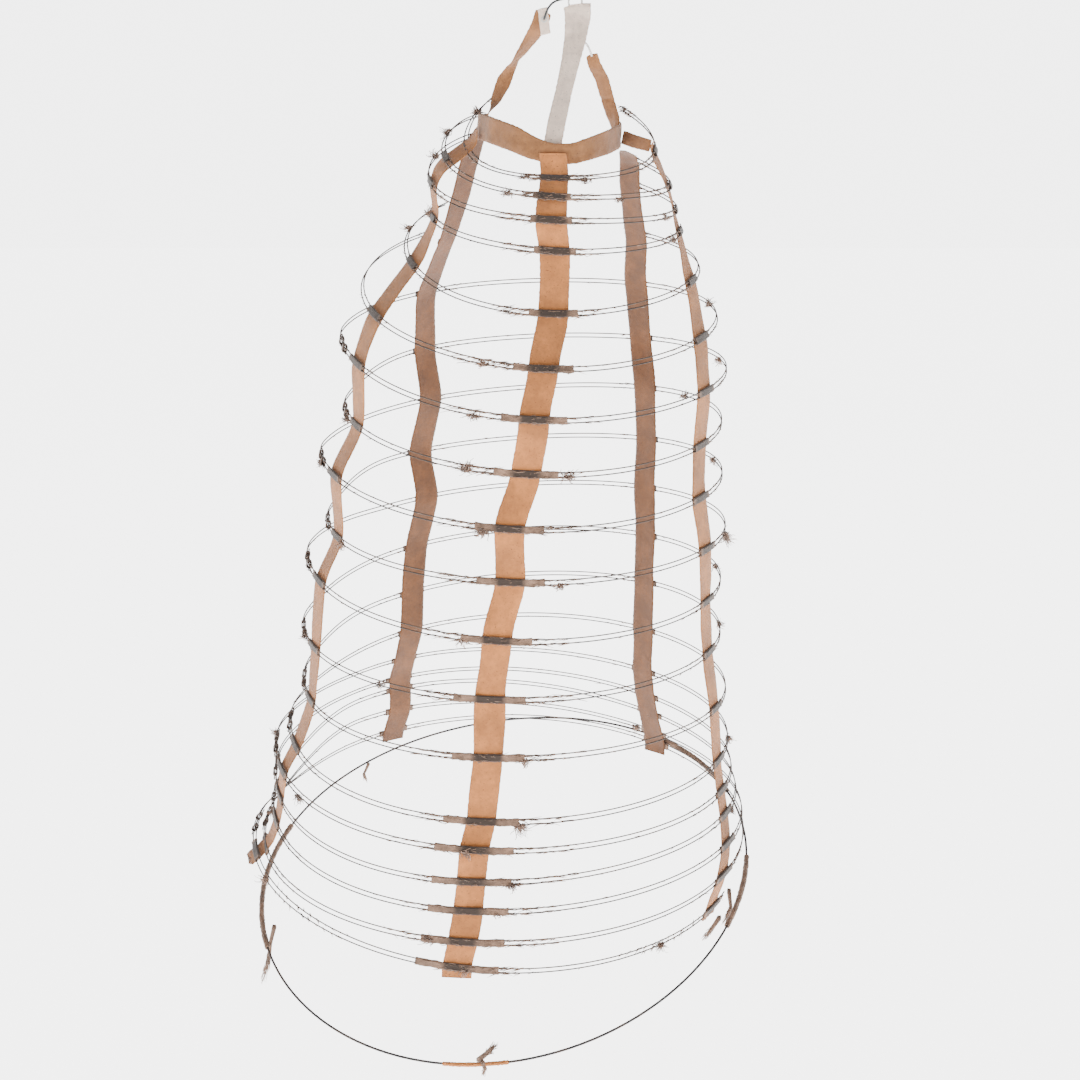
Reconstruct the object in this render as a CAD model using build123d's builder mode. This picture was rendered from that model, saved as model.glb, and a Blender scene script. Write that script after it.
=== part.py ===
# A crinoline cage of the 1860s, hung up by its waistband.
# Millimetres, +Z up, +X to the wearer's left, -Y to the front. The origin is the hanging point.
from build123d import *
import math
import os

# ---------------------------------------------------------------- driving sizes
STEEL_D = 1.4          # one fine hoop steel
STEEL_GAP = 5.0        # between the middles of the two steels of a hoop
BOTTOM_STEEL_D = 2.6   # the heavy bottom hoop
TAPE_W = 32.0          # woven cotton tape
TAPE_T = 1.0
BRAID_T = 0.5          # wall of the woven cover round the steels
BRAID_FIT = 0.25       # room between a steel and its cover
SEAT = 0.3             # between a cover and its tape
LAP_GAP = 0.5          # between two steels that lap
LAP_TURN = 12.0        # degrees of a round that lap
LAP_BEHIND = 8.0       # degrees from the lap to the left tape
BINDING_W = 6.0        # thread binding on a lap, measured along the steels
BINDING_T = 0.7
FOOT = 16.0            # tape left below its last hoop
BAND_W = 28.0          # waistband
BAND_T = 1.4
CORD_D = 2.4

# Hoops from the top, each: radius, sideways place of its middle, height, tilt up towards the front,
# tilt up towards the right, saddle, skew, climb over one full turn.
HOOPS = [
    (104, -15, -147, -46, 1, 7, 1, -22),
    (125, -19, -175, -32, -15, 3, 6, -21),
    (137, -24, -201, -30, -8, 4, 4, -46),
    (139, -20, -238, -20, -8, -1, 1, -3),
    (163, -24, -277, -42, -3, -2, 3, -40),
    (198, -38, -333, -34, -3, -6, 0, -48),
    (216, -44, -386, -31, -1, -6, 1, -78),
    (213, -45, -456, -20, 2, -5, -2, -44),
    (228, -58, -512, -19, 3, -5, -1, -65),
    (228, -53, -580, -11, 5, -2, -1, -39),
    (238, -67, -631, -21, 4, -2, 0, -82),
    (242, -70, -703, -14, 8, 0, -1, -51),
    (247, -67, -768, -15, 4, 3, 2, -41),
    (258, -74, -828, -20, -4, 0, 4, -26),
    (269, -80, -857, -21, -7, 2, 5, -36),
    (273, -78, -888, -24, -7, 2, 8, -19),
    (279, -76, -922, -20, -6, 1, 6, -3),
    (286, -81, -952, -24, 0, 2, 0, 2),
    (287, -92, -981, -19, -16, -5, 0, -3),
]
BOTTOM_HOOP = (292, -82, -1016, -90, 32, -6, 0, 0)

# Azimuth of each tape on each hoop: 0 is the front, 90 the right as seen from the front.
TAPES = {
    "front_tape": [-4, -3, -1, -1, 0, 1, 0, -2, -3, -4, -4, -5, -6, -6, -6, -7, -8, -8, -7],
    "left_tape": [-80, -77, -77, -77, -71, -65, -63, -66, -65, -68, -66, -67, -71, -72, -71, -74, -76, -78, -77],
    "right_tape": [84, 84, 84, 80, 69, 62, 59, 59, 59, 61, 65, 67, 68, 69, 69, 68, 65, 62, 61],
    "back_right_tape": [140, 137, 138, 140, 142, 144, 143, 140, 138, 140, 137, 137, 139, 139, 138, 138, 138, 137],
    "back_left_tape": [228, 228, 229, 231, 230, 224, 219, 217, 215, 214, 213, 213, 214, 213, 212, 212, 212, 212],
}

# The top hoops are open behind: azimuths of their two ends. The rest run on into the next round.
OPEN_ENDS = {1: (-132, 138), 2: (-137, 141), 3: (-137, 142), 4: (-92, 90), 5: (-131, 146)}
FIRST_ROUND_START = -139
LAST_ROUND_END = 68
CLIMB_FROM = -58       # the first full round climbs from here to its start
CLIMB = 22

# Hoops that each tape carries.
CARRIES = {
    "front_tape": range(1, 20),
    "left_tape": range(1, 20),
    "right_tape": range(1, 20),
    "back_right_tape": [2, 3] + list(range(5, 19)),
    "back_left_tape": [2, 3] + list(range(5, 19)),
}

# Half length of the braid left on each tape, in degrees of the hoop.
BRAID_TURN = {
    "front_tape": 9.0,
    "left_tape": 4.5,
    "right_tape": 4.5,
    "back_right_tape": 4.0,
    "back_left_tape": 4.0,
}

SECTION_STEP = 22.0    # longest turn between two points of a steel


# ---------------------------------------------------------------- where a hoop runs
def hoop_row(n):
    return BOTTOM_HOOP if n == 20 else HOOPS[n - 1]


def ring_point(n, azimuth):
    """A point on hoop n at an azimuth in degrees."""
    radius, middle, height, front, right, saddle, skew, climb = hoop_row(n)
    turn = math.radians(azimuth)
    z = height + front * math.cos(turn) + right * math.sin(turn) + climb * azimuth / 360
    z += saddle * math.cos(2 * turn) + skew * math.sin(2 * turn)
    if n == 6 and azimuth < CLIMB_FROM:
        z += CLIMB * ((CLIMB_FROM - azimuth) / (CLIMB_FROM - FIRST_ROUND_START)) ** 1.5
    return Vector(middle + radius * math.sin(turn), -radius * math.cos(turn), z)


def tape_azimuth(tape, n):
    row = TAPES[tape]
    return row[min(n, len(row)) - 1]


def round_start(n):
    if n in OPEN_ENDS:
        return OPEN_ENDS[n][0]
    return FIRST_ROUND_START if n == 6 else tape_azimuth("left_tape", n) - LAP_TURN - LAP_BEHIND


def round_end(n):
    if n in OPEN_ENDS:
        return OPEN_ENDS[n][1]
    return LAST_ROUND_END if n == 19 else tape_azimuth("left_tape", n + 1) + 360 - LAP_BEHIND


def ease(value):
    value = min(1.0, max(0.0, value))
    return value * value * (3 - 2 * value)


def runs_on(n):
    return 6 <= n <= 18


def run_share(n, azimuth):
    """How far a round has run down into the next, from 0 to 1."""
    return ease((azimuth - 225) / (round_end(n) - LAP_TURN - 225))


def pair_point(n, azimuth):
    """The middle of the two steels of a round: its last part runs down into the next round."""
    point = ring_point(n, azimuth)
    if runs_on(n):
        point = point + (ring_point(n + 1, azimuth - 360) - point) * run_share(n, azimuth)
    return point


def outward(azimuth):
    turn = math.radians(azimuth)
    return Vector(math.sin(turn), -math.cos(turn), 0)


def ring_slope(n, azimuth):
    """Unit vector down the side of the cage where hoop n lies."""
    above = ring_point(max(1, n - 1), azimuth)
    below = ring_point(min(19, n + 1), azimuth)
    step = below - above
    flare = step.dot(outward(azimuth))
    slope = outward(azimuth) * flare + Vector(0, 0, min(step.Z, -12.0))
    return slope.normalized()


def down_slope(n, azimuth):
    """The same for a round, whose last part turns into the next round's slope."""
    slope = ring_slope(n, azimuth)
    if runs_on(n):
        slope = slope + (ring_slope(n + 1, azimuth - 360) - slope) * run_share(n, azimuth)
    return slope.normalized()


def proud(n, azimuth):
    """Unit vector square to the side of the cage, outwards."""
    slope = down_slope(n, azimuth)
    out = outward(azimuth)
    return (out * -slope.Z + Vector(0, 0, 1) * slope.dot(out)).normalized()


def lap_offset(n, azimuth):
    """A round's end lies just outside the start of the next round."""
    if not runs_on(n):
        return 0.0
    begin = round_end(n) - LAP_TURN
    return (STEEL_D + LAP_GAP) * ease((azimuth - begin + 16) / 14)


def steel_point(n, azimuth, side):
    """side is -1 for the upper steel, 1 for the lower and 0 between them."""
    point = pair_point(n, azimuth) + proud(n, azimuth) * lap_offset(n, azimuth)
    return point + down_slope(n, azimuth) * (side * STEEL_GAP / 2)


def tangent(n, azimuth, side):
    return (steel_point(n, azimuth + 0.5, side) - steel_point(n, azimuth - 0.5, side)).normalized()


# ---------------------------------------------------------------- lines and solids
def two_arcs(start, start_way, end, end_way):
    """Two arcs that meet smoothly, from one point and direction to another."""
    gap = end - start
    ways = start_way + end_way
    b = 2 * gap.dot(ways)
    a = 2 * (1 - start_way.dot(end_way))
    if a < 1e-9:
        reach = gap.dot(gap) / (4 * gap.dot(end_way))
    else:
        reach = (-b + math.sqrt(b * b + 4 * a * gap.dot(gap))) / (2 * a)
    middle = (start + start_way * reach + end - end_way * reach) * 0.5
    TangentArc(start, middle, tangent=start_way)
    TangentArc(middle, end, tangent=(middle - (start + start_way * reach)))


def steps(begin, end):
    """Azimuths from begin to end with no step over SECTION_STEP."""
    count = max(1, math.ceil((end - begin) / SECTION_STEP))
    return [begin + (end - begin) * i / count for i in range(count + 1)]


def steel_stations(n):
    """Azimuths that a round is drawn through: its ends, and both ends of each braid remnant."""
    keys = [round_start(n), round_end(n)]
    for tape in TAPES:
        if n in CARRIES[tape]:
            azimuth = tape_azimuth(tape, n)
            keys += [azimuth - BRAID_TURN[tape], azimuth + BRAID_TURN[tape]]
    if runs_on(n):
        keys += [round_end(n) - LAP_TURN - 14, round_end(n) - LAP_TURN]
    inside = sorted(k for k in keys if round_start(n) <= k <= round_end(n))
    keys = [k for i, k in enumerate(inside) if i == 0 or k - inside[i - 1] > 1.0]
    stations = [keys[0]]
    for begin, end in zip(keys, keys[1:]):
        stations += steps(begin, end)[1:]
    return stations


def hoop_line(n, stations, side):
    for begin, end in zip(stations, stations[1:]):
        two_arcs(
            steel_point(n, begin, side), tangent(n, begin, side),
            steel_point(n, end, side), tangent(n, end, side),
        )


def hoop_steel(n, side):
    stations = steel_stations(n)
    with BuildPart() as steel:
        with BuildLine() as line:
            hoop_line(n, stations, side)
        with BuildSketch(Plane(origin=line.wire() @ 0, z_dir=line.wire() % 0)):
            Circle(STEEL_D / 2)
        sweep(path=line.wire())
    return steel


def steel_cover(n, tape):
    """The braid left round both steels where a tape carries them."""
    azimuth = tape_azimuth(tape, n)
    turn = BRAID_TURN[tape]
    stations = steps(azimuth - turn, azimuth + turn)
    wall = BRAID_FIT + BRAID_T
    width = STEEL_GAP + STEEL_D + 2 * wall
    depth = STEEL_D + 2 * wall
    with BuildPart() as cover:
        with BuildLine() as line:
            hoop_line(n, stations, 0)
        start = Plane(line.wire() @ 0, x_dir=down_slope(n, stations[0]), z_dir=line.wire() % 0)
        with BuildSketch(start):
            RectangleRounded(width, depth, depth / 2 - 0.05)
            with Locations((STEEL_GAP / 2, 0), (-STEEL_GAP / 2, 0)):
                Circle(STEEL_D / 2 + BRAID_FIT, mode=Mode.SUBTRACT)
        sweep(path=line.wire())
    return cover.part


def ribbon(sections, thickness):
    """A strip of tape through (point, width direction, length direction, width) sections."""
    with BuildPart() as strip:
        for point, across, along, width in sections:
            with BuildSketch(Plane(point, x_dir=across, z_dir=along)):
                Rectangle(width, thickness)
        loft(ruled=True)
    return strip.part


def run_of(points, across, widths):
    """Sections for a ribbon through points, its length direction taken from the points."""
    places = [Vector(*p) for p in points]
    sections = []
    for i, place in enumerate(places):
        along = (places[min(i + 1, len(places) - 1)] - places[max(i - 1, 0)]).normalized()
        flat = Vector(*across[i])
        flat = (flat - along * flat.dot(along)).normalized()
        sections.append((place, flat, along, widths[i]))
    return sections


# ---------------------------------------------------------------- the upright tapes
def seat_depth(n):
    """From the middle of a hoop in to the middle of its tape, which lies flat across the curve."""
    bow = TAPE_W ** 2 / (8 * hoop_row(n)[0])
    return STEEL_D / 2 + BRAID_FIT + BRAID_T + SEAT + bow + TAPE_T / 2


def tape_sections(tape):
    sections = []
    reach = STEEL_GAP / 2 + STEEL_D / 2 + BRAID_FIT + BRAID_T + 1
    for n in CARRIES[tape]:
        azimuth = tape_azimuth(tape, n)
        slope = down_slope(n, azimuth)
        along_hoop = tangent(n, azimuth, 0)
        across = (along_hoop - slope * along_hoop.dot(slope)).normalized()
        inward = across.cross(slope).normalized()
        if inward.dot(outward(azimuth)) > 0:
            inward = inward * -1
        middle = steel_point(n, azimuth, 0) + inward * seat_depth(n)
        last = n == CARRIES[tape][-1]
        for place in (-reach, FOOT if last else reach):
            sections.append((middle + slope * place, across, slope, TAPE_W))
    return sections


# Where each tape starts on the waistband: its place and the way its width lies.
TAPE_TOPS = {
    "front_tape": ((-25, -90.6, -160), (1, 0, 0), 28),
    "left_tape": ((-106.6, -14, -138), (-0.1, 1, 0), 24),
    "right_tape": ((85.5, -5, -156), (0.05, 1, 0), 20),
    "back_right_tape": ((61, 53, -168), (-0.2, 1, 0), 18),
    "back_left_tape": ((-106.5, 60, -137), (0.26, 1, 0), 16),
}


def upright_tape(tape):
    sections = tape_sections(tape)
    place, across, width = TAPE_TOPS[tape]
    top = Vector(*place)
    along = (sections[0][0] - top).normalized()
    flat = Vector(*across)
    flat = (flat - along * flat.dot(along)).normalized()
    if flat.dot(sections[0][1]) < 0:
        flat = flat * -1
    return ribbon([(top, flat, along, width)] + sections, TAPE_T)


# ---------------------------------------------------------------- laps between the rounds
def lap_binding(n, share):
    """Thread wound round both hoops' steels where round n ends on the start of the next."""
    azimuth = round_end(n) - LAP_TURN * share
    slope = down_slope(n + 1, azimuth - 360)
    way = tangent(n, azimuth, 0)
    middle = steel_point(n, azimuth, 0) + steel_point(n + 1, azimuth - 360, 0)
    spread = (steel_point(n, azimuth, 0) - steel_point(n + 1, azimuth - 360, 0)).length
    flat = (slope - way * slope.dot(way)).normalized()
    inner_w = STEEL_GAP + STEEL_D + 1.0
    inner_d = STEEL_D + spread + 0.8
    with BuildPart() as binding:
        with BuildSketch(Plane(middle * 0.5 - way * (BINDING_W / 2), x_dir=flat, z_dir=way)):
            RectangleRounded(inner_w + 2 * BINDING_T, inner_d + 2 * BINDING_T, 1.6)
            RectangleRounded(inner_w, inner_d, 1.0, mode=Mode.SUBTRACT)
        extrude(amount=BINDING_W)
    return binding.part


# ---------------------------------------------------------------- the bottom hoop
def bottom_line(begin, end):
    stations = steps(begin, end)
    for a, b in zip(stations, stations[1:]):
        ways = [(ring_point(20, s + 0.5) - ring_point(20, s - 0.5)).normalized() for s in (a, b)]
        two_arcs(ring_point(20, a), ways[0], ring_point(20, b), ways[1])


def bottom_tube(begin, end, outer, inner=0.0):
    with BuildPart() as tube:
        with BuildLine() as line:
            bottom_line(begin, end)
        with BuildSketch(Plane(origin=line.wire() @ 0, z_dir=line.wire() % 0)):
            Circle(outer / 2)
            if inner:
                Circle(inner / 2, mode=Mode.SUBTRACT)
        sweep(path=line.wire())
    return tube.part


# ---------------------------------------------------------------- waist and hanging pieces
def cord(points, corner):
    with BuildPart() as part:
        with BuildLine() as line:
            FilletPolyline(*points, radius=corner)
        with BuildSketch(Plane(origin=line.wire() @ 0, z_dir=line.wire() % 0)):
            Circle(CORD_D / 2)
        sweep(path=line.wire())
    return part.part


def save(solid, name):
    solid.label = name
    export_step(solid, f"parts/{name}.step")


def save_group(solids, name):
    group = Compound(children=list(solids))
    save(group, name)


os.makedirs("parts", exist_ok=True)

for number in range(1, 20):
    for side, word in ((-1, "upper"), (1, "lower")):
        steel = hoop_steel(number, side)
        save(steel.part, f"hoop_{number:02d}_{word}_steel")

for tape_name in TAPES:
    save(upright_tape(tape_name), tape_name)

# The braid left on the steels, one group for the front, the sides and the back.
COVER_GROUPS = {
    "front_steel_covers": ["front_tape"],
    "side_steel_covers": ["left_tape", "right_tape"],
    "back_steel_covers": ["back_right_tape", "back_left_tape"],
}
for group_name, tape_names in COVER_GROUPS.items():
    save_group([steel_cover(n, tape) for tape in tape_names for n in CARRIES[tape]], group_name)

save_group([lap_binding(n, share) for n in range(6, 19) for share in (0.25, 0.75)], "lap_bindings")

# The bottom hoop: its ends butt inside the braid on its left.
save(bottom_tube(-88, 271.6, BOTTOM_STEEL_D), "bottom_hoop_steel")

# The waistband goes round from the back left, over the front, to the back right.
WAISTBAND = [
    (-98, 72, -140, 28), (-105, 46, -139, 28), (-107, 20, -138, 28), (-103, -18, -137, 28),
    (-91, -52, -139, 28), (-66, -77, -147, 27), (-47, -85, -156, 24), (-26, -88.5, -162, 22),
    (-2, -87, -162, 22), (16, -78, -157, 23), (33, -57, -152, 25), (46, -20, -149, 26),
    (52, 25, -148, 26), (51, 62, -147, 26),
]
band_places = [row[:3] for row in WAISTBAND]
band_widths = [row[3] for row in WAISTBAND]
waistband = ribbon(run_of(band_places, [(0, 0, 1)] * len(WAISTBAND), band_widths), BAND_T)
save(waistband, "waistband")

# Its two ends are turned up and drawn together under the hook.
LEFT_END = [
    ((-99.3, 59, -147), (-0.26, -1, 0), 20), ((-98.6, 58, -130), (-0.26, -1, 0), 20),
    ((-87, 55, -109), (0.8, -0.6, 0.3), 15), ((-78, 50, -90), (0.8, -0.3, 0.5), 17),
    ((-66, 42, -69), (0.7, 0.2, 0.6), 15), ((-50, 28, -47), (0.9, 0, 0.4), 15),
    ((-39, 15, -31), (1, 0, 0.15), 18), ((-34, 9, -16), (1, 0, 0.1), 18),
]
RIGHT_END = [
    ((47.6, 54, -154), (0, 1, 0), 18), ((45, 58, -132), (-0.6, 0.8, 0), 20),
    ((38, 60, -110), (1, -0.6, 0), 17), ((31, 46, -88), (1, -0.3, 0), 15),
    ((22, 33, -72), (1, 0, 0), 14), ((19, 28, -61), (1, 0, 0), 13),
]


def end_strip(rows, name):
    strip = ribbon(run_of([r[0] for r in rows], [r[1] for r in rows], [r[2] for r in rows]), TAPE_T)
    save(strip, name)


end_strip(LEFT_END, "waistband_left_end")
end_strip(RIGHT_END, "waistband_right_end")

YOKE = [((54.1, 30, -150), (0, 0, 1), 15), ((66, 16, -154), (0, 0, 1), 14), ((83.2, -3, -158), (0, 0, 1), 13)]
end_strip(YOKE, "side_yoke")

SUPPORT = [
    ((2, -2.1, -8), (1, 0, 0), 30), ((3, -4, -20), (1, 0, 0), 29), ((0, -14, -43), (1, 0, 0), 24),
    ((-5, -28, -68), (1, 0.1, 0), 20), ((-13, -48, -100), (1, 0.1, 0), 18), ((-21, -72, -134), (1, 0, 0), 19),
    ((-26, -85.6, -160), (1, 0, 0), 19), ((-33, -85.6, -178), (1, -0.1, 0), 13),
]
end_strip(SUPPORT, "support_tape")

# Hanging loop of white cord, sewn behind the top of the support tape. Its inside top is the origin.
LOOP_R = 7.2
with BuildPart() as loop:
    with BuildLine(Plane.XZ) as line:
        CenterArc((0, -LOOP_R + CORD_D / 2), LOOP_R, 0, 360)
    with BuildSketch(Plane(origin=(LOOP_R, 0, -LOOP_R + CORD_D / 2), z_dir=(0, 0, 1))):
        Circle(CORD_D / 2)
    sweep(path=line.wire())
save(loop.part, "hanging_loop")

# White tab with its metal eyelet on the left end, and the two cords that tie the ends up.
EYELET = Vector(-33.5, 5.9, -24)
EYELET_D = 7.0
EYELET_HOLE = 3.6
with BuildPart() as tab:
    with BuildSketch(Plane(origin=EYELET + Vector(0, 1.2, -2), x_dir=(1, 0, 0.12), z_dir=(0, -1, 0))):
        Rectangle(11, 28)
        with Locations((0, 2)):
            Circle(EYELET_HOLE / 2 + 0.3, mode=Mode.SUBTRACT)
    extrude(amount=0.8)
save(tab.part, "eyelet_tab")

with BuildPart() as eyelet:
    with BuildSketch(Plane(origin=EYELET + Vector(0, 0.4, 0), z_dir=(0, -1, 0))):
        Circle(EYELET_D / 2)
        Circle(EYELET_HOLE / 2, mode=Mode.SUBTRACT)
    extrude(amount=0.7)
save(eyelet.part, "eyelet")

BLACK_CORD = [(-33.5, 3.6, -24), (-31, -1.5, -13), (-20, -2.6, -3), (-7, -2.1, -2.4)]
save(cord(BLACK_CORD, 4), "black_cord")
WHITE_CORD = [(19, 26.6, -62.5), (16, 18, -54), (11, 2, -48), (5, -11, -44)]
save(cord(WHITE_CORD, 4), "white_cord")

# The torn scrap of the front tape on the bottom hoop, and the braid wound round its left and back.
WRAPPING_D = BOTTOM_STEEL_D + 3.6
SLEEVE_BORE = BOTTOM_STEEL_D + 0.5
save(bottom_tube(-12, 2, BOTTOM_STEEL_D + 2.0, SLEEVE_BORE), "tape_scrap")
WRAPPED = [(-112, -70), (62, 84), (108, 136)]
save_group([bottom_tube(begin, end, WRAPPING_D, SLEEVE_BORE) for begin, end in WRAPPED], "bottom_hoop_braid")
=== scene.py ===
"""Looks of the crinoline cage: worn steels, woven tapes, frayed braid, cords and the studio."""
import bmesh
import bpy
import math
import random
import numpy as np
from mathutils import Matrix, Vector, kdtree, noise


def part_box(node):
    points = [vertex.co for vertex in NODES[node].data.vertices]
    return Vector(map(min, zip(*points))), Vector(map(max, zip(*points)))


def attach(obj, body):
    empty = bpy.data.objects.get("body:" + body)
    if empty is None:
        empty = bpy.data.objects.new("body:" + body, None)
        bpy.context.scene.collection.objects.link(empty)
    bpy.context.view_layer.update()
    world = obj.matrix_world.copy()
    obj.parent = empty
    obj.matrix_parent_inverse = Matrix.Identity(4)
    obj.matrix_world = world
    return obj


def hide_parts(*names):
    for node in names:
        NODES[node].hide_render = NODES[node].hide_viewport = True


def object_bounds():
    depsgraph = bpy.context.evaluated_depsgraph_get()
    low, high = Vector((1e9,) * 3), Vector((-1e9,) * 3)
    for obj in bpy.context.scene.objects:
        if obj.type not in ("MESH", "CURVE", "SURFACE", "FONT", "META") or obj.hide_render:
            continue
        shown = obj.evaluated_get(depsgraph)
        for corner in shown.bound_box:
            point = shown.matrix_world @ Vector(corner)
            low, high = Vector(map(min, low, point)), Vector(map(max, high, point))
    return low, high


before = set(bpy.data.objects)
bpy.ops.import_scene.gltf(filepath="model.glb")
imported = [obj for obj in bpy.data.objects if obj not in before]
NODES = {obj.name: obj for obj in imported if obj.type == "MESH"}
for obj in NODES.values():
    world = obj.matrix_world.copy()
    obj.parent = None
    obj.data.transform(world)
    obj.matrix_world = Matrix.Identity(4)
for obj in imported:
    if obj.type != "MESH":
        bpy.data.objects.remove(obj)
cad_low, cad_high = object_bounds()
MM = 0.001
FULL_TURN = 6.283       # of a sine, in the weave
THIRD_TURN = 2.0944     # between three strands or the sides of a thread
TINY = 1e-9


# ---------------------------------------------------------------- material helpers
class Shader:
    """A material's node tree, with short calls for the nodes used here."""

    def __init__(self, name, roughness=0.8, metallic=0.0, sheen=0.0):
        self.material = bpy.data.materials.new(name)
        self.material.use_nodes = True
        self.tree = self.material.node_tree
        self.bsdf = self.tree.nodes["Principled BSDF"]
        self.bsdf.inputs["Roughness"].default_value = roughness
        self.bsdf.inputs["Metallic"].default_value = metallic
        self.bsdf.inputs["Sheen Weight"].default_value = sheen

    def node(self, kind, **values):
        made = self.tree.nodes.new(kind)
        for key, value in values.items():
            if hasattr(made, key):
                setattr(made, key, value)
            else:
                made.inputs[key.replace("_", " ")].default_value = value
        return made

    def link(self, out, into):
        self.tree.links.new(out, into)

    def noise(self, where, scale, detail=4.0, rough=0.6):
        made = self.node("ShaderNodeTexNoise", Scale=scale, Detail=detail, Roughness=rough)
        self.link(where, made.inputs["Vector"])
        return made.outputs["Fac"]

    def ramp(self, value, stops):
        made = self.node("ShaderNodeValToRGB")
        self.link(value, made.inputs["Fac"])
        points = made.color_ramp.elements
        while len(points) < len(stops):
            points.new(0.5)
        for point, (place, colour) in zip(points, stops):
            point.position = place
            point.color = (*colour, 1) if len(colour) == 3 else colour
        return made.outputs["Color"]

    def mix(self, share, a, b, mode="MIX"):
        made = self.node("ShaderNodeMix", data_type="RGBA", blend_type=mode)
        for value, socket in ((share, made.inputs[0]), (a, made.inputs[6]), (b, made.inputs[7])):
            if isinstance(value, bpy.types.NodeSocket):
                self.link(value, socket)
            else:
                socket.default_value = value if socket.type == "VALUE" else (*value, 1)
        return made.outputs[2]

    def maths(self, operation, a, b=0.5):
        made = self.node("ShaderNodeMath", operation=operation)
        for value, socket in ((a, made.inputs[0]), (b, made.inputs[1])):
            if isinstance(value, bpy.types.NodeSocket):
                self.link(value, socket)
            else:
                socket.default_value = value
        return made.outputs[0]

    def bump(self, height, strength=0.5, distance=0.0005):
        made = self.node("ShaderNodeBump", Strength=strength, Distance=distance)
        self.link(height, made.inputs["Height"])
        self.link(made.outputs[0], self.bsdf.inputs["Normal"])

    def colour(self, value):
        self.link(value, self.bsdf.inputs["Base Color"])

    def object_place(self):
        return self.node("ShaderNodeTexCoord").outputs["Object"]

    def uv_place(self):
        return self.node("ShaderNodeTexCoord").outputs["UV"]


def shade(colour, factor):
    return tuple(min(1.0, c * factor) for c in colour[:3])


def woven(slot, colour, stain=0.5, rib=1400, fade=1.25):
    """Woven cotton: UV runs in metres, u across the tape and v along it."""
    s = Shader(slot, roughness=0.92, sheen=0.25)
    uv = s.uv_place()
    split = s.node("ShaderNodeSeparateXYZ")
    s.link(uv, split.inputs[0])
    across = s.maths("SINE", s.maths("MULTIPLY", split.outputs[0], rib * FULL_TURN))
    along = s.maths("SINE", s.maths("MULTIPLY", split.outputs[1], rib * 0.62 * FULL_TURN))
    weave = s.maths("MULTIPLY", s.maths("ADD", across, 1.6), s.maths("ADD", along, 1.8))
    place = s.object_place()
    broad = s.noise(place, 22, 5)
    fine = s.noise(place, 190, 3, 0.7)
    base = s.ramp(broad, [(0.3, shade(colour, 0.66)), (0.5, colour), (0.72, shade(colour, fade))])
    blotch = s.ramp(s.noise(place, 55, 6, 0.75), [(0.42, (0, 0, 0)), (0.62, (1, 1, 1))])
    base = s.mix(s.maths("MULTIPLY", blotch, stain), base, shade(colour, 0.55))
    speck = s.ramp(s.noise(place, 620, 2, 0.5), [(0.66, (0, 0, 0)), (0.7, (1, 1, 1))])
    base = s.mix(s.maths("MULTIPLY", speck, 0.75), base, shade(colour, 0.22))
    threads = s.ramp(weave, [(0.0, shade(colour, 0.6)), (1.0, shade(colour, 1.3))])
    base = s.mix(0.35, base, threads, "MULTIPLY")
    base = s.mix(0.5, base, s.ramp(fine, [(0.3, (0.62, 0.6, 0.58)), (0.7, (1, 1, 1))]), "MULTIPLY")
    s.colour(base)
    s.bump(s.maths("ADD", s.maths("MULTIPLY", weave, 0.18), fine), 0.65, 0.00035)
    return s.material


def worn_steel(slot, colour, rust, dark):
    """Old spring steel, dark in patches and rusty in others."""
    s = Shader(slot, roughness=0.48, metallic=0.15)
    place = s.object_place()
    patches = s.noise(place, 38, 6, 0.7)
    pits = s.noise(place, 900, 4, 0.7)
    base = s.ramp(patches, [(0.36, dark), (0.5, colour), (0.66, rust)])
    base = s.mix(0.55, base, s.ramp(pits, [(0.35, (0.4, 0.36, 0.33)), (0.65, (1, 1, 1))]), "MULTIPLY")
    s.colour(base)
    s.link(s.ramp(patches, [(0.3, (0.38,) * 3), (0.7, (0.8,) * 3)]), s.bsdf.inputs["Roughness"])
    s.bump(pits, 0.4, 0.00015)
    return s.material


def fibre(slot, colour):
    """Loose or braided thread, dark where the mesh attribute "held" says that a tape holds it."""
    s = Shader(slot, roughness=0.95, sheen=0.3)
    place = s.object_place()
    patches = s.noise(place, 60, 5, 0.7)
    threads = s.noise(place, 1500, 3, 0.7)
    base = s.ramp(patches, [(0.32, shade(colour, 0.5)), (0.52, colour), (0.7, shade(colour, 1.65))])
    base = s.mix(0.6, base, s.ramp(threads, [(0.35, (0.42, 0.38, 0.36)), (0.65, (1, 1, 1))]), "MULTIPLY")
    held = s.node("ShaderNodeAttribute", attribute_name="held")
    s.colour(s.mix(held.outputs["Fac"], base, shade(colour, 0.13)))
    s.bump(threads, 0.8, 0.0004)
    return s.material


FLOOR_GLOW = 4.5


def pale_floor():
    s = Shader("pale_floor", roughness=0.95)
    tone = s.noise(s.object_place(), 0.6, 2)
    s.colour(s.ramp(tone, [(0.3, (0.93, 0.93, 0.925)), (0.7, (0.95, 0.95, 0.948))]))
    s.bsdf.inputs["Emission Color"].default_value = (1, 1, 1, 1)
    s.bsdf.inputs["Emission Strength"].default_value = FLOOR_GLOW
    return s.material


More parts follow.
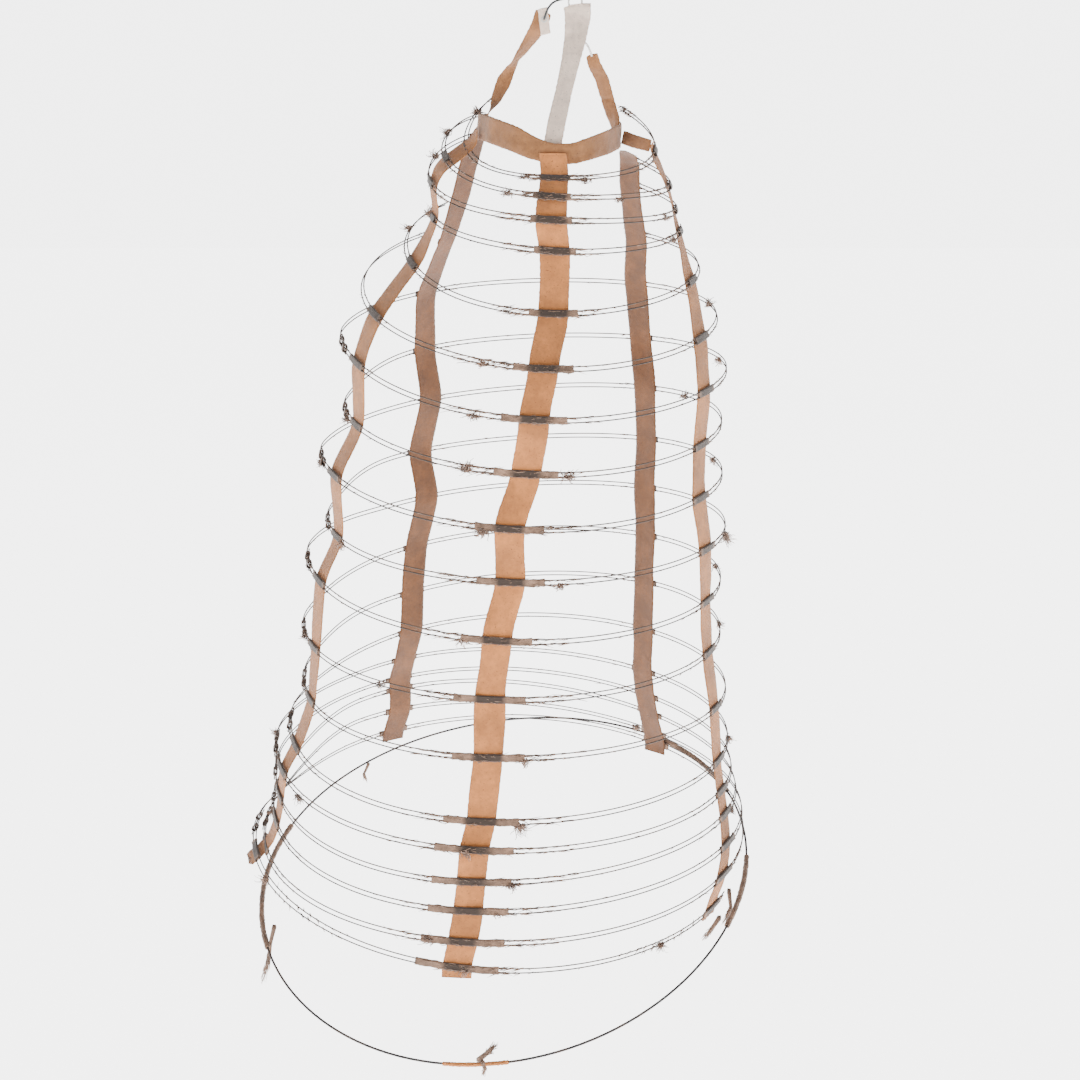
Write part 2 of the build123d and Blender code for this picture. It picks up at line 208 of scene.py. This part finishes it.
MATERIALS = {
    # The first two steel materials are one worn steel in two brightnesses: painted light on the upper steels
    # and painted shade on the lower steels.
    "steel_light": worn_steel("steel_light", (0.065, 0.045, 0.035), (0.12, 0.07, 0.045),
                              (0.03, 0.022, 0.018)),
    "steel_dark": worn_steel("steel_dark", (0.035, 0.025, 0.02), (0.09, 0.05, 0.033),
                             (0.014, 0.011, 0.01)),
    "bottom_steel": worn_steel("bottom_steel", (0.035, 0.03, 0.03), (0.10, 0.07, 0.055),
                               (0.012, 0.011, 0.011)),
    # The three tape materials are one tape colour in three brightnesses: the side and back copies are darker
    # as painted shade, deepest on the back tapes, whose inside face is seen in shade.
    "tape_front": woven("tape_front", (0.62, 0.265, 0.075), 0.4),
    "tape_side": woven("tape_side", (0.50, 0.22, 0.065), 0.5),
    "tape_back": woven("tape_back", (0.22, 0.085, 0.022), 0.6),
    "waist": woven("waist", (0.36, 0.165, 0.055), 0.5),
    "white_tape": woven("white_tape", (0.92, 0.74, 0.64), 0.12, fade=1.06),
    "white_cord": fibre("white_cord", (0.78, 0.74, 0.70)),
    "black_cord": fibre("black_cord", (0.03, 0.03, 0.032)),
    "eyelet": worn_steel("eyelet", (0.72, 0.70, 0.66), (0.6, 0.56, 0.5), (0.45, 0.43, 0.4)),
    "braid": fibre("braid", (0.27, 0.16, 0.105)),
    "loose_braid": fibre("loose_braid", (0.33, 0.20, 0.14)),
    "thread": fibre("thread", (0.10, 0.055, 0.035)),
}


def finish_piece(obj, slot):
    obj.data.materials.clear()
    obj.data.materials.append(MATERIALS[slot])
    if obj.type == "MESH":
        obj.data.shade_smooth()
    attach(obj, "root")


def add_object(name, data):
    obj = bpy.data.objects.new(name, data)
    bpy.context.scene.collection.objects.link(obj)
    return obj


def mesh_object(name, points, faces, uvs=None):
    mesh = bpy.data.meshes.new(name)
    mesh.from_pydata([tuple(p) for p in points], [], faces)
    if uvs is not None:
        layer = mesh.uv_layers.new(name="tape")
        loops = np.empty(len(mesh.loops), dtype=np.int32)
        mesh.loops.foreach_get("vertex_index", loops)
        layer.data.foreach_set("uv", np.asarray(uvs, dtype=np.float32)[loops].ravel())
    mesh.update()
    return add_object(name, mesh)


def node_arrays(node):
    """A CAD node's points and edges."""
    mesh = NODES[node].data
    points = np.empty(len(mesh.vertices) * 3)
    mesh.vertices.foreach_get("co", points)
    edges = np.empty(len(mesh.edges) * 2, dtype=np.int64)
    mesh.edges.foreach_get("vertices", edges)
    return points.reshape(-1, 3), edges.reshape(-1, 2)


# ---------------------------------------------------------------- tapes and bands
def cut(points, edges, origin, normal, side=None):
    """The two far ends of the cut that a plane makes through a thin strip."""
    depth = (points - origin) @ normal
    a, b = depth[edges[:, 0]], depth[edges[:, 1]]
    crossing = (a > 0) != (b > 0)
    if not crossing.any():
        return None
    share = (a[crossing] / (a[crossing] - b[crossing]))[:, None]
    hits = points[edges[crossing, 0]] * (1 - share) + points[edges[crossing, 1]] * share
    if side is not None:
        hits = hits[(hits - origin) @ side > 0]
    if len(hits) < 3:
        return None
    middle = hits.mean(axis=0)
    first = hits[np.argmax(((hits - middle) ** 2).sum(axis=1))]
    second = hits[np.argmax(((hits - first) ** 2).sum(axis=1))]
    return first, second


END_SHARE = 0.004       # of a strip's length, left at each end before the first cut


def strip_edges(node, way, count, centre=(0, 0, 0)):
    """Left and right edge lines of a CAD strip, cut across it count times."""
    points, edges = node_arrays(node)
    centre = np.array(centre, dtype=float)
    pairs = []
    if way == "round":
        turns = np.arctan2(points[:, 0] - centre[0], -(points[:, 1] - centre[1]))
        low, high = turns.min(), turns.max()
    else:
        axis = np.array({"z": (0, 0, 1.0), "x": (1.0, 0, 0)}[way])
        along = points @ axis
        low, high = along.min(), along.max()
    for i in range(count):
        share = END_SHARE + (1 - 2 * END_SHARE) * i / (count - 1)
        place = low + (high - low) * share
        if way == "round":
            out = np.array([math.sin(place), -math.cos(place), 0])
            normal = np.array([math.cos(place), math.sin(place), 0])
            pair = cut(points, edges, centre, normal, out)
        else:
            pair = cut(points, edges, axis * (high + low - place if way == "z" else place), axis)
        if pair is None:
            continue
        if pairs and np.dot(pair[1] - pair[0], pairs[-1][1] - pairs[-1][0]) < 0:
            pair = (pair[1], pair[0])
        pairs.append(pair)
    return pairs


def smoothed(pairs, reach):
    """Edge lines with the CAD strip's kinks rounded off; the ends stay where they are."""
    soft = []
    for i in range(len(pairs)):
        room = min(reach, i, len(pairs) - 1 - i)
        share = pairs[i - room:i + room + 1]
        soft.append((sum(p[0] for p in share) / len(share), sum(p[1] for p in share) / len(share)))
    return soft


COLUMNS = 12            # faces across a tape
RAGGED_ROWS = 12        # rows at a torn end
INSIDE_X = -0.05        # x of a line inside the cage, which the tapes face away from


def tape_piece(node, name, slot, way="z", count=300, thick=0.0010, bow=0.0, ragged=0.0,
               centre=(0, 0, 0), wave=0.0004, seed=1.0):
    """A woven strip that follows a CAD strip, with soft edges, a slight bow and small creases."""
    pairs = smoothed(strip_edges(node, way, count, centre), max(2, count // 60))
    rows = []
    travelled = 0.0
    middle_before = None
    for left, right in pairs:
        middle = (left + right) / 2
        if middle_before is not None:
            travelled += float(np.linalg.norm(middle - middle_before))
        middle_before = middle
        rows.append((left, right, middle, travelled))
    points, uvs, faces = [], [], []
    profile = [(-1 + 2 * c / COLUMNS, 1) for c in range(COLUMNS + 1)]
    profile += [(1 - 2 * c / COLUMNS, -1) for c in range(COLUMNS + 1)]
    for i, (left, right, middle, run) in enumerate(rows):
        before, after = rows[max(0, i - 1)][2], rows[min(len(rows) - 1, i + 1)][2]
        along = after - before
        along /= max(TINY, np.linalg.norm(along))
        across = right - left
        width = float(np.linalg.norm(across))
        across = across / max(TINY, width)
        face = np.cross(across, along)
        face /= max(TINY, np.linalg.norm(face))
        if np.dot(face, middle - np.array([INSIDE_X, 0, middle[2]])) < 0:
            face = -face
        for u, cheek in profile:
            edge = 1 - abs(u) ** 10 * 0.45
            fray = noise.noise(Vector((run * 260, u * 2, seed))) * 0.0006
            ripple = noise.noise(Vector((run * 42, u * 1.3, seed + 7))) * wave
            ripple += noise.noise(Vector((run * 160, u * 4, seed + 3))) * wave * 0.35
            swell = noise.noise(Vector((run * 17, 4 if u > 0 else 9, seed))) * width * 0.055
            offset = across * (u * (width / 2 + swell * abs(u) + (fray if abs(u) > 0.95 else 0)))
            lift = bow * (1 - u * u) + ripple + cheek * thick / 2 * edge
            spot = middle + offset + face * lift
            if ragged and i > len(rows) - RAGGED_ROWS:
                spot = spot + along * noise.noise(Vector((u * 9, seed, 5))) * ragged
            points.append(spot)
            uvs.append(((u + 1) / 2 * width, run))
    ring = len(profile)
    for i in range(len(rows) - 1):
        for c in range(ring):
            a, b = i * ring + c, i * ring + (c + 1) % ring
            faces.append((a, b, b + ring, a + ring))
    faces.append(tuple(range(ring)))
    faces.append(tuple(reversed(range((len(rows) - 1) * ring, len(rows) * ring))))
    obj = mesh_object(name, points, faces, uvs)
    obj.data.validate()
    finish_piece(obj, slot)
    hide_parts(node)


# ---------------------------------------------------------------- frayed braid
def tape_lines():
    """Middle points of the five tapes, to tell where they hold the braid."""
    spots = []
    for node in ("front_tape", "left_tape", "right_tape", "back_left_tape", "back_right_tape"):
        spots += [(left + right) / 2 for left, right in strip_edges(node, "z", 400)]
    tree = kdtree.KDTree(len(spots))
    for i, spot in enumerate(spots):
        tree.insert(spot, i)
    tree.balance()
    return tree


LONG_EDGE = 0.0016      # edges longer than this are split
HOLD_REACH = 0.0185     # from a tape's middle line, where its hold on the braid ends
HOLD_FADE = 0.003


def worn_copy(node, name, slot, rough=0.0003, cuts=2, seed=3.0, held=None):
    """A CAD cover with its smooth wall worked up into lumpy worn braid."""
    bm = bmesh.new()
    bm.from_mesh(NODES[node].data)
    for _ in range(cuts):
        long = [e for e in bm.edges if e.calc_length() > LONG_EDGE]
        bmesh.ops.subdivide_edges(bm, edges=long, cuts=1)
    bmesh.ops.triangulate(bm, faces=bm.faces)
    bm.normal_update()
    layer = bm.verts.layers.float.new("held")
    for v in bm.verts:
        p = v.co
        lump_size = rough
        if held is not None:
            gap = held.find(p)[2]
            v[layer] = max(0.0, min(1.0, (HOLD_REACH - gap) / HOLD_FADE))
            lump_size = rough * (1 + 3.2 * (1 - v[layer]))
        lump = noise.noise(p * 520 + Vector((seed, 0, 0))) * lump_size
        lump += noise.noise(p * 1500) * lump_size * 0.6
        v.co = p + v.normal * lump
    mesh = bpy.data.meshes.new(name)
    bm.to_mesh(mesh)
    bm.free()
    obj = add_object(name, mesh)
    finish_piece(obj, slot)
    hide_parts(node)


def fibre_tube(points, faces, path, radius):
    """A three-sided thread along a short path."""
    base = len(points)
    last = len(path) - 1
    for i, spot in enumerate(path):
        along = (path[min(i + 1, last)] - path[max(i - 1, 0)]).normalized()
        side = along.orthogonal().normalized()
        other = along.cross(side)
        width = radius * (1 - 0.6 * i / last)
        for k in range(3):
            turn = k * THIRD_TURN
            points.append(spot + side * (math.cos(turn) * width) + other * (math.sin(turn) * width))
    for i in range(last):
        for k in range(3):
            a, b = base + i * 3 + k, base + i * 3 + (k + 1) % 3
            faces.append((a, b, b + 3, a + 3))
    faces.append((base, base + 2, base + 1))
    end = base + last * 3
    faces.append((end, end + 1, end + 2))


def hoop_centre(number):
    """The middle of a hoop's own box, on y 0 for the hoops that are open behind."""
    low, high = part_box(f"hoop_{number:02d}_upper_steel")
    if number < 6:
        return Vector(((low[0] + high[0]) / 2, 0, 0))
    return Vector(((low[0] + high[0]) / 2, (low[1] + high[1]) / 2, 0))


def any_way(draw, most=1):
    """A vector with each part drawn between -most and most."""
    return Vector([draw.uniform(-most, most) for _ in range(3)])


def steel_spots(node, centre, wanted):
    """Points of a steel with their azimuth, kept where wanted(azimuth) says so."""
    points, _ = node_arrays(node)
    spots = []
    for p in points:
        azimuth = math.degrees(math.atan2(p[0] - centre.x, -(p[1] - centre.y)))
        if wanted(azimuth):
            spots.append((Vector(p), azimuth))
    return spots


def frayed(name, spread, per_steel, reach, seed):
    """Loose threads of the worn braid along the steels, thickest where spread says."""
    draw = random.Random(seed)
    points, faces = [], []
    for number in range(1, 20):
        centre = hoop_centre(number)
        for word in ("upper", "lower"):
            spots = steel_spots(f"hoop_{number:02d}_{word}_steel", centre, lambda a: spread(a) > 0)
            if not spots:
                continue
            for _ in range(per_steel):
                spot, azimuth = spots[draw.randrange(len(spots))]
                if draw.random() > spread(azimuth):
                    continue
                turn = math.radians(azimuth)
                way = Vector((math.cos(turn), math.sin(turn), 0)) * draw.choice((-1, 1))
                size = reach * draw.uniform(0.35, 1.0)
                drop = Vector((draw.uniform(-1, 1), draw.uniform(-1, 1), draw.uniform(-1.2, 0.7)))
                curl = Vector((draw.uniform(-1, 1), draw.uniform(-1, 1), draw.uniform(-1, 0.6)))
                path = []
                for i in range(5):
                    t = i / 4
                    path.append(spot + way * (size * t) + drop * (size * 0.16 * t)
                                + curl * (size * 0.2 * t * t))
                fibre_tube(points, faces, path, draw.uniform(0.0003, 0.00065))
    finish_piece(mesh_object(name, points, faces), "braid")


# Hoop, azimuth in degrees, number of threads and reach in metres of each bunch.
TUFTS = [
    (1, -118, 26, 0.016), (2, -105, 26, 0.016), (3, -110, 30, 0.018), (1, -20, 14, 0.010),
    (2, -26, 22, 0.014), (1, 18, 16, 0.012), (2, 32, 18, 0.012), (3, 62, 14, 0.010),
    (4, 60, 20, 0.013), (4, -88, 34, 0.016), (5, -100, 24, 0.014), (6, 100, 34, 0.015),
    (6, -12, 18, 0.012), (7, -16, 26, 0.014), (7, 104, 24, 0.013), (7, -70, 26, 0.013),
    (8, -14, 46, 0.018), (8, 12, 40, 0.017), (8, -80, 36, 0.015), (8, 118, 24, 0.014),
    (9, -14, 34, 0.015), (9, 100, 26, 0.013), (10, 84, 60, 0.020), (10, 10, 26, 0.014),
    (10, -66, 30, 0.015), (11, -16, 20, 0.012), (11, 96, 20, 0.012), (12, -76, 26, 0.014),
    (12, 92, 22, 0.012), (13, 4, 18, 0.013), (14, 4, 40, 0.018), (14, 88, 26, 0.013),
    (14, -88, 24, 0.012), (15, -12, 28, 0.015), (15, -62, 24, 0.013), (16, 6, 26, 0.014),
    (16, 76, 24, 0.013), (17, -80, 30, 0.014), (17, 3, 16, 0.010), (18, -14, 34, 0.015),
    (19, -84, 40, 0.016), (19, 62, 40, 0.016), (19, -2, 22, 0.012), (12, 136, 16, 0.012),
    (16, 140, 22, 0.013), (17, 141, 26, 0.014), (15, -146, 20, 0.012), (18, -146, 26, 0.013),
    (6, -146, 16, 0.010),
]


def tufts(name, seed):
    """Bunches of broken braid that stand off the steels."""
    draw = random.Random(seed)
    points, faces = [], []
    for number, azimuth, count, reach in TUFTS:
        centre = hoop_centre(number)
        spots = steel_spots(f"hoop_{number:02d}_lower_steel", centre, lambda a: abs(a - azimuth) < 5)
        if not spots:
            continue
        turn = math.radians(azimuth)
        out = Vector((math.sin(turn), -math.cos(turn), 0))
        way = Vector((math.cos(turn), math.sin(turn), 0))
        lean = way * draw.uniform(-1, 1) + out * draw.uniform(0.1, 0.8)
        lean += Vector((0, 0, draw.uniform(-1, 0.7)))
        root = spots[draw.randrange(len(spots))][0]
        for _ in range(count * 2):
            spot = root + any_way(draw) * 0.0022 + way * draw.uniform(-0.004, 0.004)
            size = reach * draw.uniform(0.2, 0.8)
            head = lean * 0.6 + any_way(draw, 0.5)
            curl = any_way(draw)
            path = []
            for i in range(6):
                t = i / 5
                twist = Vector((math.sin(t * 9 + curl.x * 5), math.cos(t * 7 + curl.y * 5),
                                math.sin(t * 8 + curl.z)))
                path.append(spot + head * (size * t) + curl * (size * 0.3 * t * t)
                            + twist * (0.0011 * t))
            fibre_tube(points, faces, path, draw.uniform(0.0004, 0.0008))
    obj = mesh_object(name, points, faces)
    finish_piece(obj, "braid")
    obj.data.materials[0] = MATERIALS["loose_braid"]


def near(azimuth, middle, inner, outer):
    """1 within inner degrees of the middle, falling to 0 at outer degrees."""
    gap = abs(azimuth - middle)
    return max(0.0, min(1.0, (outer - gap) / (outer - inner))) if gap < outer else 0.0


# ---------------------------------------------------------------- dressing the model
def dress_steels():
    """Better materials for the CAD nodes that stay in view: the steels and the eyelet."""
    for name, obj in NODES.items():
        if name == "bottom_hoop_steel":
            slot = "bottom_steel"
        elif name.endswith("_steel"):
            # The upper steels take the lighter copy as painted light, the lower steels the darker copy as
            # painted shade.
            slot = "steel_light" if "upper" in name else "steel_dark"
        elif name == "eyelet":
            slot = "eyelet"
        else:
            continue
        for socket in obj.material_slots:
            socket.link = "OBJECT"
            socket.material = MATERIALS[slot]


TAPE_ROWS = 450


def dress_tapes():
    tape_piece("front_tape", "front_tape_cloth", "tape_front", count=TAPE_ROWS, bow=0.0006, seed=1.0)
    # The side and back tapes take the darker copies of the tape colour, painted shade.
    tape_piece("left_tape", "left_tape_cloth", "tape_side", count=TAPE_ROWS, bow=0.0005, seed=2.0,
               ragged=0.006)
    tape_piece("right_tape", "right_tape_cloth", "tape_side", count=TAPE_ROWS, bow=0.0005, seed=3.0,
               ragged=0.006)
    tape_piece("back_left_tape", "back_left_tape_cloth", "tape_back", count=TAPE_ROWS, bow=0.0005, seed=4.0)
    tape_piece("back_right_tape", "back_right_tape_cloth", "tape_back", count=TAPE_ROWS, bow=0.0005, seed=5.0)
    waist_middle = (-0.03, 0.0, -0.15)
    tape_piece("waistband", "waistband_cloth", "waist", way="round", count=320, centre=waist_middle,
               thick=0.0014, wave=0.0009, seed=6.0)
    tape_piece("waistband_left_end", "left_end_cloth", "waist", count=200, wave=0.0008, seed=7.0)
    tape_piece("waistband_right_end", "right_end_cloth", "waist", count=140, wave=0.0008, seed=8.0)
    tape_piece("side_yoke", "side_yoke_cloth", "waist", way="x", count=50, seed=9.0, wave=0.0006)
    tape_piece("support_tape", "support_tape_cloth", "white_tape", count=240, seed=10.0, wave=0.0007)
    tape_piece("eyelet_tab", "eyelet_tab_cloth", "white_tape", count=60, thick=0.0008, seed=11.0, wave=0.0003)


def dress_braid():
    held = tape_lines()
    worn_copy("front_steel_covers", "front_braid_remnants", "braid", cuts=1, seed=1, held=held)
    worn_copy("side_steel_covers", "side_braid_remnants", "braid", cuts=0, seed=2, held=held)
    worn_copy("back_steel_covers", "back_braid_remnants", "braid", cuts=0, seed=3, held=held)
    worn_copy("bottom_hoop_braid", "bottom_braid", "braid", rough=0.0008, seed=4)
    worn_copy("tape_scrap", "torn_tape_scrap", "tape_front", rough=0.0006, seed=5)
    worn_copy("lap_bindings", "lap_thread", "thread", rough=0.0002, cuts=1, seed=6)
    frayed("front_fray", lambda a: near(a, -3, 9, 22), 190, 0.013, 11)
    frayed("left_fray", lambda a: near(a, -70, 5, 20), 90, 0.009, 12)
    frayed("right_fray", lambda a: near(a, 66, 4, 18), 80, 0.009, 13)
    frayed("back_fray", lambda a: max(near(a, 139, 3, 14), near(a, -146, 3, 14)), 70, 0.008, 14)
    frayed("loose_fray", lambda a: 0.25, 90, 0.006, 15)
    tufts("braid_tufts", 21)
    tail("left_braid_tail", LEFT_TAIL, 0.0045, 31)
    tail("back_braid_tail", BACK_TAIL, 0.003, 32)
    tail("side_braid_tail", SIDE_TAIL, 0.004, 33)
    tail("second_side_tail", SECOND_SIDE_TAIL, 0.004, 36)
    tail("scrap_peak", SCRAP_PEAK, 0.0055, 34)
    tail("scrap_tail", SCRAP_TAIL, 0.0035, 35)


# Routes of the loose braid tails on the bottom hoop, in metres.
LEFT_TAIL = [(-0.349, -0.090, -1.050), (-0.354, -0.093, -1.070), (-0.358, -0.092, -1.095),
             (-0.365, -0.095, -1.119)]
BACK_TAIL = [(-0.264, 0.219, -0.967), (-0.270, 0.217, -0.980), (-0.268, 0.219, -0.992)]
SIDE_TAIL = [(0.168, -0.128, -1.020), (0.158, -0.132, -1.034), (0.150, -0.130, -1.046)]
SECOND_SIDE_TAIL = [(0.182, -0.090, -1.004), (0.184, -0.098, -1.022), (0.176, -0.102, -1.040)]
SCRAP_PEAK = [(-0.104, -0.290, -1.110), (-0.094, -0.291, -1.100), (-0.086, -0.291, -1.091)]
SCRAP_TAIL = [(-0.100, -0.292, -1.110), (-0.097, -0.293, -1.118), (-0.099, -0.292, -1.125)]


TAIL_THREADS = 70
TAIL_STEPS = 8


def tail(name, route, spread, seed):
    """A loose tail of braid: a bunch of threads that narrows to a ragged end."""
    draw = random.Random(seed)
    route = [Vector(p) for p in route]
    points, faces = [], []
    for _ in range(TAIL_THREADS):
        off = any_way(draw) * spread * 0.5
        flick = any_way(draw) * spread * 0.7
        reach = draw.uniform(0.55, 1.05)
        path = []
        for i in range(TAIL_STEPS + 1):
            place = min(0.999, reach * i / TAIL_STEPS) * (len(route) - 1)
            k = int(place)
            spot = route[k].lerp(route[k + 1], place - k)
            path.append(spot + off * (1 - 0.5 * i / TAIL_STEPS) + flick * (i / TAIL_STEPS) ** 3)
        fibre_tube(points, faces, path, draw.uniform(0.0004, 0.0008))
    finish_piece(mesh_object(name, points, faces), "braid")


CORD_D = 0.0024


def cord_piece(node, name, route, slot):
    """A taut tie cord along its CAD route."""
    data = bpy.data.curves.new(name, "CURVE")
    data.dimensions = "3D"
    line = data.splines.new("NURBS")
    line.points.add(len(route) - 1)
    for point, place in zip(line.points, route):
        point.co = (*[v * MM for v in place], 1)
    line.use_endpoint_u = True
    line.order_u = 3
    data.bevel_depth = CORD_D / 2
    data.bevel_resolution = 6
    data.use_fill_caps = True
    data.resolution_u = 16
    obj = add_object(name, data)
    finish_piece(obj, slot)
    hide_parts(node)


# Routes of the two tie cords, in mm, the same points as in the CAD.
BLACK_CORD = [(-33.5, 3.6, -24), (-31, -1.5, -13), (-20, -2.6, -3), (-7, -2.1, -2.4)]
WHITE_CORD = [(19, 26.6, -62.5), (16, 18, -54), (11, 2, -48), (5, -11, -44)]


def strands_round(name, node, slot, centre, radius, strand, turns):
    """A ring of cord made of three laid strands."""
    points, faces = [], []
    steps, sides = 120, 8
    for k in range(3):
        base = len(points)
        for i in range(steps):
            turn = 2 * math.pi * i / steps
            lay = turns * turn + k * THIRD_TURN
            out = Vector((math.cos(turn), 0, math.sin(turn)))
            spot = Vector(centre) + out * (radius + math.cos(lay) * strand * 0.9)
            spot += Vector((0, math.sin(lay) * strand * 0.9, 0))
            for j in range(sides):
                a = 2 * math.pi * j / sides
                points.append(spot + out * (math.cos(a) * strand) + Vector((0, math.sin(a) * strand, 0)))
        for i in range(steps):
            for j in range(sides):
                a, b = i * sides + j, i * sides + (j + 1) % sides
                c, d = ((i + 1) % steps) * sides + (j + 1) % sides, ((i + 1) % steps) * sides + j
                faces.append((base + a, base + b, base + c, base + d))
    obj = mesh_object(name, points, faces)
    finish_piece(obj, slot)
    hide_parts(node)


def dress_cords():
    cord_piece("black_cord", "black_tie_cord", BLACK_CORD, "black_cord")
    cord_piece("white_cord", "white_tie_cord", WHITE_CORD, "white_cord")
    strands_round("loop_cord", "hanging_loop", "white_cord", (0, 0, -0.006), 0.0072, 0.0006, 9)


# ---------------------------------------------------------------- studio
CAMERA_AT = (-0.038, -2.130, -0.055)
CAMERA_TILT = 75.5
LENS = 63.3
FLOOR_HALF = 9
FLOOR_BELOW = 0.06      # under the lowest point of the CAD
WORLD_LIGHT = 0.55
BACKDROP_LIGHT = 6.0    # what the camera sees of the world, as bright as the floor
LIGHTS = (
    ("key", (-1.6, -2.4, 1.4), 2.4, 34),
    ("fill", (2.2, -1.6, 0.4), 2.6, 12),
    ("back", (0.4, 2.4, 1.2), 2.4, 14),
)
LIGHTS_AIM = Vector((-0.05, 0, -0.55))


def studio():
    z, half = cad_low[2] - FLOOR_BELOW, FLOOR_HALF
    floor = mesh_object("floor", [(-half, -half, z), (half, -half, z), (half, half, z), (-half, half, z)],
                        [(0, 1, 2, 3)])
    floor.data.materials.append(pale_floor())
    world = bpy.data.worlds.new("studio")
    world.use_nodes = True
    tree = world.node_tree
    tree.nodes["Background"].inputs[0].default_value = (1, 1, 1, 1)
    tree.nodes["Background"].inputs[1].default_value = WORLD_LIGHT
    bright = tree.nodes.new("ShaderNodeBackground")
    bright.inputs[1].default_value = BACKDROP_LIGHT
    seen = tree.nodes.new("ShaderNodeLightPath")
    mix = tree.nodes.new("ShaderNodeMixShader")
    tree.links.new(seen.outputs["Is Camera Ray"], mix.inputs[0])
    tree.links.new(tree.nodes["Background"].outputs[0], mix.inputs[1])
    tree.links.new(bright.outputs[0], mix.inputs[2])
    tree.links.new(mix.outputs[0], tree.nodes["World Output"].inputs["Surface"])
    bpy.context.scene.world = world
    for name, place, size, power in LIGHTS:
        light = bpy.data.lights.new(name, "AREA")
        light.size = size
        light.energy = power
        lamp = add_object(name, light)
        lamp.location = place
        aim = LIGHTS_AIM - Vector(place)
        lamp.rotation_euler = aim.to_track_quat("-Z", "Y").to_euler()
    camera = bpy.data.cameras.new("camera")
    camera.lens = LENS
    camera.sensor_width = 36
    eye = add_object("camera", camera)
    eye.location = CAMERA_AT
    eye.rotation_euler = (math.radians(CAMERA_TILT), 0, 0)
    bpy.context.scene.camera = eye


studio()
dress_cords()
dress_steels()
dress_tapes()
dress_braid()
